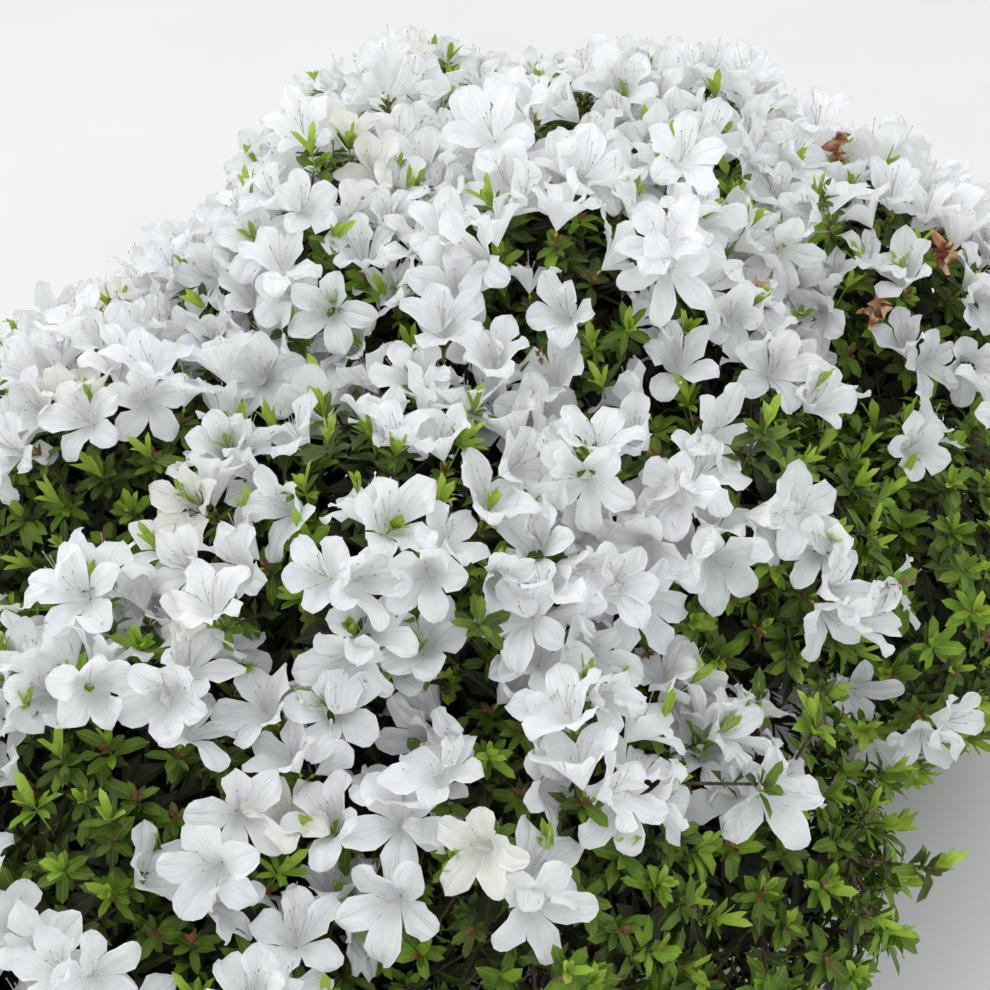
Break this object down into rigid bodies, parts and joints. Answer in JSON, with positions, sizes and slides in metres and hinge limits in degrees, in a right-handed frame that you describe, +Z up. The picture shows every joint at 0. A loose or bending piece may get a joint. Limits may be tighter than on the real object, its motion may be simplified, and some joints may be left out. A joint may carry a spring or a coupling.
{
  "type": "azalea shrub",
  "caption": "Broad, dense mound of an evergreen azalea in full white bloom, rooted in level ground by a short flared root crown.",
  "frame": {"origin": "centre of the flat cut under the root crown, at ground level", "axes": "+Z up, the way the shrub grows; X along the crown's long axis, with its tall end at +X; Y across it"},
  "size_m": [1.8086, 1.3016, 0.8507],
  "materials": {
    "bark": "rough brown bark",
    "blossom": "soft white petals",
    "leaf": "satin green leaves"
  },
  "bodies": {
    "root": {"trunk": "bark", "bough_01": "bark", "bough_02": "bark", "bough_03": "bark", "bough_04": "bark", "bough_05": "bark", "bough_06": "bark", "bough_07": "bark", "bough_08": "bark", "bough_09": "bark", "bough_10": "bark", "bough_11": "bark", "bough_12": "bark", "bough_13": "bark", "bough_14": "bark", "bough_15": "bark", "bough_16": "bark", "bough_17": "bark", "bough_18": "bark", "bough_19": "bark", "bough_20": "bark", "bough_21": "bark", "bough_22": "bark", "bough_23": "bark", "bough_24": "bark", "bough_25": "bark", "bough_26": "bark", "foliage_01": "blossom", "foliage_02": "blossom", "foliage_03": "blossom", "foliage_04": "blossom", "foliage_05": "blossom", "foliage_06": "blossom", "foliage_07": "blossom", "foliage_08": "blossom", "foliage_09": "blossom", "foliage_10": "blossom", "foliage_11": "blossom", "foliage_12": "blossom", "foliage_13": "blossom", "foliage_14": "leaf", "foliage_15": "blossom", "foliage_16": "blossom", "foliage_17": "blossom", "foliage_18": "blossom", "foliage_19": "leaf", "foliage_20": "blossom", "foliage_21": "blossom", "foliage_22": "leaf", "foliage_23": "blossom", "foliage_24": "leaf", "foliage_25": "leaf", "foliage_26": "blossom"}
  },
  "joints": []
}
